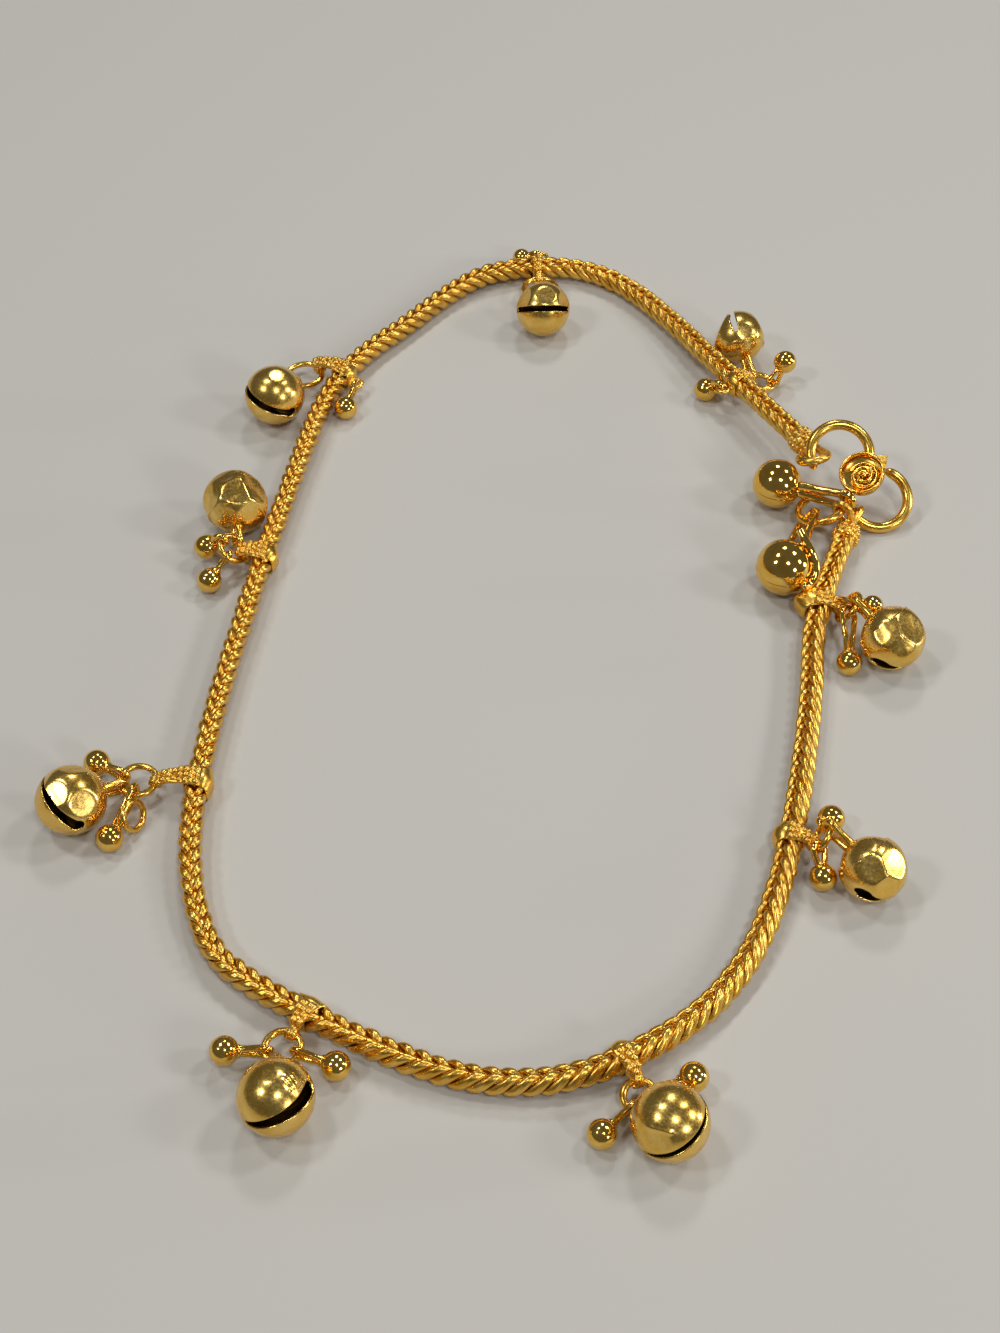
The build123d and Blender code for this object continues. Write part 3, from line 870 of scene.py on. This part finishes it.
def makeBall(name, charm):
    row = clusters[int(name[0]) - 1]
    middle, point, way = charmHook(row, charm)
    hanging = loopFrame(point, way, middle)
    radius = charm.get("radius", ballShape["radius"])
    reach = np.linalg.norm(middle - point) - wires["loopSink"]
    loopRadius = charm.get("loop", wires["loopRadius"])
    loop = wireLoop(hanging, reach, loopRadius, ballShape["legs"], wires["loop"], ballShape["drawn"])
    bead = sphereMesh(dict(hanging, origin=middle), radius * ballShape["bead"])
    # solder where the two legs run into the bead
    near = middle - hanging["x"] * (radius * ballShape["collarPlace"])
    seat = makeFrame(near, hanging["x"], hanging["y"])
    collar = wireRing(seat, ballShape["collar"], ballShape["collarWire"], 0.15, count=28, sides=10)
    newPiece(f"ball_bead_{name}", [bead, collar, loop], finishes["worn"], [f"ball_{name}"])


for name, charm in balls.items():
    makeBall(name, charm)
print("balls made:", len(balls))


# jump rings

spareRing = dict(radius=1.25, normal=(0.85, -0.36, 0.39), wire=0.95)


def makeJumpRing(number, row):
    centre, outwards, along = ringFrame(row)[2:]
    at = makeFrame(centre, np.cross(outwards, along), outwards)
    shapes = [wireRing(at, row["ring"], wires["ring"], 0.06, count=72)]
    if "spare" in row:  # an empty ring hangs beside it
        spareAt = makeFrame(besideChain(row, row["spare"]), spareRing["normal"], up)
        shapes.append(wireRing(spareAt, spareRing["radius"], wires["ring"] * spareRing["wire"], 0.06))
    newPiece(f"ring_wire_{number}", shapes, finishes["wire"], [f"jump_ring_{number}"])


for number, row in enumerate(clusters, 1):
    makeJumpRing(number, row)
print("jump rings made")


# bands folded round the chain, with the tongue and wound eye that carry each ring

bandSheet = dict(
    half=1.17,  # half the square that it is folded round, to the middle of the sheet
    corner=0.8,
    thickness=0.15,
    outer=0.5,  # half its width along the chain on the outer side
    strap=(1.6, 1.0),  # the strap's width where it starts and where it ends
    strapThick=(0.34, 0.6),
    eye=0.46,
    eyeWire=0.19,
    eyeTurns=3,
    eyeLong=0.6,
    grain=0.32,
    grainPitch=0.5,  # from one row of grains to the next
    grainGap=0.6,  # from one grain to the next in a row, at the least
    grainStart=0.35,
    grainScatter=0.03,
)
# half its width along the chain on the inner side, how far it stands off there, and how wide its strap is
# and how far that runs past the eye
bandShapes = [
    dict(inner=1.0, bulge=0.1, wide=1.0, past=0.0),
    dict(inner=0.7, bulge=0.05, wide=0.8, past=0.0),
    dict(inner=1.0, bulge=0.1, wide=1.5, past=0.7),
    dict(inner=1.1, bulge=0.2, wide=1.6, past=0.8),
    dict(inner=1.4, bulge=0.2, wide=1.4, past=0.3),
    dict(inner=1.4, bulge=0.1, wide=1.0, past=0.0),
    dict(inner=0.8, bulge=0.1, wide=1.1, past=0.1),
    dict(inner=1.2, bulge=0.4, wide=1.3, past=0.2),
    dict(inner=1.6, bulge=1.3, wide=1.2, past=0.2),
]


def squarePoint(q, half, corner):
    # round a square with rounded corners: q from 0 to 1 starts at the middle of the outer side
    flat = 2 * (half - corner)
    bend = corner * pi / 2
    lengthAll = 4 * (flat + bend)
    d = (q * lengthAll + flat / 2) % lengthAll
    sideNumber = int(d // (flat + bend))
    rest = d - sideNumber * (flat + bend)
    if rest <= flat:
        x, y = half, -flat / 2 + rest
    else:
        a = (rest - flat) / corner
        x, y = half - corner + corner * cos(a), flat / 2 + corner * sin(a)
    a = sideNumber * pi / 2
    return x * cos(a) - y * sin(a), x * sin(a) + y * cos(a)


def foldedSheet(row, shape):
    # the band itself: rows go round the chain and columns along it
    place, along, out, upright = clusterFrame(row)
    around = 72
    across = 15
    verts = []
    for i in range(around):
        q = i / around
        inside = 0.5 - 0.5 * cos(2 * pi * q)
        width = bandSheet["outer"] + (shape["inner"] - bandSheet["outer"]) * inside ** 1.5
        x, y = squarePoint(q, bandSheet["half"], bandSheet["corner"])
        for j in range(across):
            t = -1 + 2 * j / (across - 1)
            # the sheet is rubbed down over the links, so it swells a little between its edges
            crown = 0.97 + 0.1 * (1 - t * t) + 0.015 * cos(2 * pi * t * width / chain["pitch"])
            stand = shape["bulge"] * inside**3 * (1 - t * t)
            verts.append(place + out * (x * crown - stand) + upright * y * crown + along * t * width)
    faces = gridFaces(around, across, False)
    last = (around - 1) * across
    faces += [(last + j, last + j + 1, j + 1, j) for j in range(across - 1)]
    if np.dot(np.cross(out, upright), along) > 0:
        faces = turnedOver(faces)
    return np.array(verts), faces


def strapStations(row, shape, steps):
    # the strap leaves the top of the band, turns down over the chain and thickens to the eye:
    # at each step its middle, the way up from it, and half its width and thickness
    place, along, out, upright = clusterFrame(row)
    strapWay, eye = ringFrame(row)[:2]
    start = place + upright * (bandSheet["half"] + 0.02) - out * 0.5
    bend = place + upright * (bandSheet["half"] + 0.2) + out * max(0.6 * row["strap"], 1.25)
    end = eye + strapWay * (shape["past"] - 0.36) + upright * (0.18 + 0.5 * (shape["past"] > 0.5))
    widthStart, widthEnd = bandSheet["strap"]
    thickStart, thickEnd = bandSheet["strapThick"]
    stations = []
    for t in np.linspace(0, 1, steps):
        middle = start * (1 - t) ** 2 + bend * 2 * t * (1 - t) + end * t * t
        way = unit((bend - start) * (1 - t) + (end - bend) * t)
        high = np.cross(along, way)
        high = high if np.dot(high, upright + out) > 0 else -high
        narrowing = (1 - t) ** 1.6
        wide = shape["wide"] * (widthStart * narrowing + widthEnd * (1 - narrowing)) / 2
        thick = (thickStart * (1 - t) + thickEnd * t) / 2
        stations.append((middle, high, wide, thick))
    return stations


def strapMesh(stations, along, sides=20):
    a = np.linspace(0, 2 * pi, sides, endpoint=False)
    rows = []
    for middle, high, wide, thick in stations:
        x = np.sign(np.cos(a)) * np.abs(np.cos(a)) ** 0.8 * wide
        y = np.sign(np.sin(a)) * np.abs(np.sin(a)) ** 0.9 * thick
        # a crease down the middle, where the folded edges meet
        y = np.where(y > 0, y * (1 - 0.3 * np.exp(-((x / 0.12) ** 2))), y)
        rows.append(middle + x[:, None] * along + y[:, None] * high)
    return np.concatenate(rows), gridFaces(len(rows), sides, True) + endFaces(len(rows), sides)


def woundEye(row):
    # turns of wire round the ring
    strapWay, eye = ringFrame(row)[:2]
    at = makeFrame(eye, ringPoint(row, row["swing"] + 180)[1], strapWay)
    t = np.linspace(0, 1, 100)
    a = 2 * pi * bandSheet["eyeTurns"] * t
    coil = toWorld(at, circling(bandSheet["eye"], a, bandSheet["eyeLong"] * (t - 0.5)))
    return sweepTube(coil, bandSheet["eyeWire"] * handmade(100, 0.1, closed=False), 12)


def strapGrains(row, stations):
    # grains of gold melted on in staggered rows
    _, along, out, upright = clusterFrame(row)
    middles = np.array([station[0] for station in stations])
    runs = np.concatenate([[0], np.cumsum(np.linalg.norm(np.diff(middles, axis=0), axis=1))])
    shapes = []
    for index, run in enumerate(np.arange(bandSheet["grainStart"], runs[-1] + 0.1, bandSheet["grainPitch"])):
        at = np.interp(run, runs, range(len(runs)))
        before = stations[int(at)]
        after = stations[min(int(at) + 1, len(stations) - 1)]
        middle, high, wide, thick = [a * (1 - at % 1) + b * (at % 1) for a, b in zip(before, after)]
        across = int(2 * wide / bandSheet["grainGap"]) + index % 2
        for column in range(across):
            sideways = (column + 0.5) * 2 / across - 1
            lift = thick * (1 - 0.8 * sideways**2) ** 0.5 - 0.1
            spot = middle + along * wide * 0.92 * sideways + high * lift
            grain = makeFrame(spot + dice.normal(0, bandSheet["grainScatter"], 3), upright, out)
            shapes.append(sphereMesh(grain, bandSheet["grain"] * dice.uniform(0.85, 1.15), 9, 14))
    return shapes


def makeBand(number, row, shape):
    newPiece(
        f"band_sheet_{number}", [foldedSheet(row, shape)], finishes["sheet"],
        [f"band_{number}"], thickness=bandSheet["thickness"],
    )
    _, along, out, upright = clusterFrame(row)
    stations = strapStations(row, shape, 16)
    shapes = [strapMesh(stations, along), woundEye(row)] + strapGrains(row, stations)
    if "eye" in row:
        side = makeFrame(sideEyeCentre(row), upright, out)
        shapes.append(wireRing(side, wires["sideEyeRadius"], wires["sideEye"], 0.08, count=40, sides=12))
    newPiece(f"band_strap_{number}", shapes, finishes["sheet"], [])


for number, (row, shape) in enumerate(zip(clusters, bandShapes), 1):
    makeBand(number, row, shape)
print("bands folded")


# the clasp: hook with its rosette, end caps, ring and two large balls

# an S of two arcs that meet at its waist, leaning back; the angles are in degrees round each arc's middle
claspHook = dict(
    waist=np.array([31.5, 14.9, 3.435]) + loopOffset, lean=33, wire=0.53, arc=2.93,
    waistAngle=128, endA=212, endB=75, tips=(0.45, 0.75, 0.92, 0.98),
)
# a cup on the hook's waist, with a coil of wire and a knob in it and the corner of its backing sheet behind
rosette = dict(
    normal=(-0.3, -0.38, 0.87), shift=(0.3, -0.2), radius=2.2, height=1.14, rim=0.13,
    corner=[(1.0, 1.9, 0.3), (2.8, 1.45, 0.42), (2.2, -0.4, 0.3)], cornerThick=0.22,
    coil=dict(inner=0.32, outer=1.45, turns=2.4, lift=0.28, wire=0.19), knob=0.3,
)
claspRing = dict(
    centre=np.array([27.6, 11.7, 2.2]) + loopOffset, normal=(-0.35, 0.1, 0.93), radius=2.3, wire=0.4,
)
claspBalls = [
    dict(
        place=np.array([23.5, 14.8, 2.5]) + loopOffset, radius=2.45, hook=2, loop=0.8, legs=0.3, turn=0,
        wire=0.42,
    ),
    dict(
        place=np.array([23.0, 2.9, 2.7]) + loopOffset, radius=2.7, hook=225, loop=1.3, legs=2.0, turn=-50,
        wire=0.4,
        brace=[  # a wire that passes its side, in the ball's own radius
            (0.53, 0.85, 1.03), (0.68, 0.50, 0.87), (0.88, 0.15, 0.66), (1.05, -0.22, 0.32),
            (1.02, -0.54, 0.05), (0.83, -0.76, -0.07), (0.55, -0.98, 0.0),
        ],
    ),
]
claspSeam = dict(height=0.04, depth=0.012)  # as shares of the ball's radius
caps = dict(
    radius=1.2, sleeve=1.0, cone=1.3, tip=0.75,
    holdA=188, holdB=216, holdRing=-32,  # where their loops hold the hook and the ring, degrees
    eyeA=1.35, eyeB=0.9, ringEye=0.75, slackA=0.25, slackB=0.05, wireA=0.45, wireB=0.36, legs=0.35,
    bead=0.3, beadScatter=0.04,
    beadRows=[(-0.75, 1.1, 11), (-0.25, 1.12, 11), (0.25, 1.06, 10), (0.75, 0.92, 9)],
)

lean = radians(claspHook["lean"])
hookFrame = makeFrame(claspHook["waist"], (0, -sin(lean), cos(lean)), (1, 0, 0))
waistWay = radians(claspHook["waistAngle"])
middleA = claspHook["arc"] * np.array([cos(waistWay), sin(waistWay)])
middleB = -middleA


def arcPoint(at, middle, radius, angle):
    a = radians(angle)
    point = toWorld(at, [middle[0] + radius * cos(a), middle[1] + radius * sin(a), 0])[0]
    return point, at["y"] * cos(a) - at["x"] * sin(a)


def arcLine(middle, start, end, count=60):
    # part of a circle in the hook's plane
    a = np.radians(np.linspace(start, end, count))
    return circling(claspHook["arc"], a) + [*middle, 0]


def spiralWire(at, coil, count=160):
    t = np.linspace(0, 1, count)
    r = coil["inner"] + (coil["outer"] - coil["inner"]) * t
    a = 2 * pi * coil["turns"] * t
    return sweepTube(toWorld(at, circling(r, a, coil["lift"] * (1 - t))), coil["wire"], 12)


def rosetteShapes():
    shift = rosette["shift"]
    normal = rosette["normal"]
    origin = toWorld(hookFrame, [shift[0], shift[1], claspHook["wire"] - 0.1])[0]
    seat = makeFrame(origin, normal, (normal[2], 0, -normal[0]))
    r, h = rosette["radius"], rosette["height"]
    cup = [
        (0.001, 0.0), (r * 0.55, 0.0), (r * 0.85, 0.06), (r * 0.96, 0.2), (r, 0.5), (r, h - 0.06),
        (r - 0.05, h), (r - 0.2, h), (r - 0.26, h - 0.08), (r - 0.3, 0.5), (r - 0.5, 0.36), (0.001, 0.33),
    ]
    inCup = shifted(seat, (0.15, -0.2, 0.5))
    # the corner of its backing sheet stands up behind the cup
    corner = np.array(rosette["corner"])
    low = toWorld(seat, corner)
    high = toWorld(seat, corner + (-0.05, -0.05, rosette["cornerThick"]))
    cornerFaces = [(0, 1, 2), (5, 4, 3), (3, 4, 1, 0), (4, 5, 2, 1), (5, 3, 0, 2)]
    return [
        lathe(seat, cup, 56),
        spiralWire(inCup, rosette["coil"]),
        sphereMesh(shifted(inCup, (0, 0, 0.3)), rosette["knob"], 12, 16),
        wireRing(shifted(seat, (0, 0, h)), r - rosette["rim"], rosette["rim"], 0.1, count=56, sides=10),
        (np.concatenate([low, high]), cornerFaces),
    ]


def makeHook():
    first = arcLine(middleA, claspHook["endA"], claspHook["waistAngle"] - 180)
    second = arcLine(middleB, claspHook["waistAngle"], 360 + claspHook["endB"])
    points = toWorld(hookFrame, np.concatenate([first, second[1:]]))
    thickness = claspHook["wire"] * handmade(len(points), 0.02, closed=False)
    tips = claspHook["tips"]
    thickness[:len(tips)] *= tips
    thickness[-len(tips):] *= tips[::-1]
    shapes = [sweepTube(points, thickness, 20)] + rosetteShapes()
    newPiece("hook_wire", shapes, finishes["wire"], ["hook"], sharp=45)


def makeCap(end, inner, held, wire, node):
    way = unit(end - inner)
    tip = end + way * caps["cone"]
    at = makeFrame(end, way, up)
    r = caps["radius"]
    back = caps["sleeve"]
    front = caps["cone"]
    outline = [
        (0.001, -back + 0.1), (0.7, -back + 0.1), (r - 0.1, -back - 0.02), (r, -back + 0.1), (r, -0.1),
        (r - 0.06, 0.05), (caps["tip"] + 0.1, front - 0.15), (caps["tip"] - 0.1, front), (0.001, front),
    ]
    shapes = [lathe(at, outline, 40)]
    # rows of beads are pressed up all round it, as coarse as the links
    for height, turnRadius, beads in caps["beadRows"]:
        for index in range(beads):
            a = 2 * pi * (index + 0.5 * (height > 0)) / beads
            place = [turnRadius * cos(a), turnRadius * sin(a), height + dice.normal(0, caps["beadScatter"])]
            bead = makeFrame(toWorld(at, place)[0], up, (1, 0, 0))
            shapes.append(sphereMesh(bead, caps["bead"] * dice.uniform(0.9, 1.1), 8, 12))
    for point, wireWay, radius in held:
        hanging = loopFrame(point, wireWay, tip)
        reach = np.linalg.norm(tip - point) + wires["loopSink"]
        shapes.append(wireLoop(hanging, reach, radius, caps["legs"], wire))
    newPiece(f"{node}_sheet", shapes, finishes["sheet"], [node], sharp=50)


def seamedBall(centre, radius):
    # two halves soldered a little above the middle, where the seam was filed to a fine groove
    high = claspSeam["height"]
    groove = np.degrees(acos(high))
    angles = [angle for angle in np.linspace(0.01, 179.99, 46) if abs(angle - groove) > 2]
    angles = sorted(angles + [groove - 1.0, groove - 0.35, groove + 0.35, groove + 1.0])
    outline = []
    for angle in angles:
        size = radius * (1 - claspSeam["depth"] * (abs(angle - groove) < 0.5))
        outline.append((size * sin(radians(angle)), size * cos(radians(angle))))
    return lathe(makeFrame(centre, up, (1, 0, 0)), outline, 72)


def softLine(points, count):
    # a smooth line through a few points
    points = np.asarray(points, float)
    padded = np.concatenate([[2 * points[0] - points[1]], points, [2 * points[-1] - points[-2]]])
    line = []
    for s in np.linspace(0, len(points) - 1.0001, count):
        i = int(s)
        t = s - i
        a, b, c, d = padded[i:i + 4]
        bend = (2 * a - 5 * b + 4 * c - d) * t**2 + (3 * b - a - 3 * c + d) * t**3
        line.append(0.5 * (2 * b + (c - a) * t + bend))
    return np.array(line)


def makeClasp():
    makeHook()
    normal = claspRing["normal"]
    ringAt = makeFrame(claspRing["centre"], normal, (normal[2], 0, -normal[0]))
    ring = wireRing(ringAt, claspRing["radius"], claspRing["wire"], 0.05, count=80, sides=16)
    newPiece("clasp_ring_wire", [ring], finishes["wire"], ["clasp_ring"])
    holdA = arcPoint(hookFrame, middleA, claspHook["arc"] - caps["slackA"], caps["holdA"])
    holdB = arcPoint(hookFrame, middleB, claspHook["arc"] - caps["slackB"], caps["holdB"])
    holdRing = arcPoint(ringAt, (0, 0), claspRing["radius"], caps["holdRing"])
    makeCap(route[0], route[1], [(*holdA, caps["eyeA"])], caps["wireA"], "end_cap_a")
    heldByB = [(*holdB, caps["eyeB"]), (*holdRing, caps["ringEye"])]
    makeCap(route[-1], route[-2], heldByB, caps["wireB"], "end_cap_b")
    for number, ball in enumerate(claspBalls, 1):
        point, way = arcPoint(ringAt, (0, 0), claspRing["radius"], ball["hook"])
        hanging = loopFrame(point, way, ball["place"], ball["turn"])
        reach = np.linalg.norm(ball["place"] - point) - ball["radius"] / 2
        shapes = [seamedBall(ball["place"], ball["radius"] * 0.998)]
        shapes.append(wireLoop(hanging, reach, ball["loop"], ball["legs"], ball["wire"]))
        if "brace" in ball:
            path = softLine(ball["place"] + np.array(ball["brace"]) * ball["radius"], 40)
            shapes.append(sweepTube(path, ball["wire"] * handmade(40, 0.08, closed=False), 14))
        newPiece(
            f"clasp_bead_{number}", shapes, finishes["bright"], [f"clasp_ball_{number}"],
        )
    print("clasp made")


makeClasp()
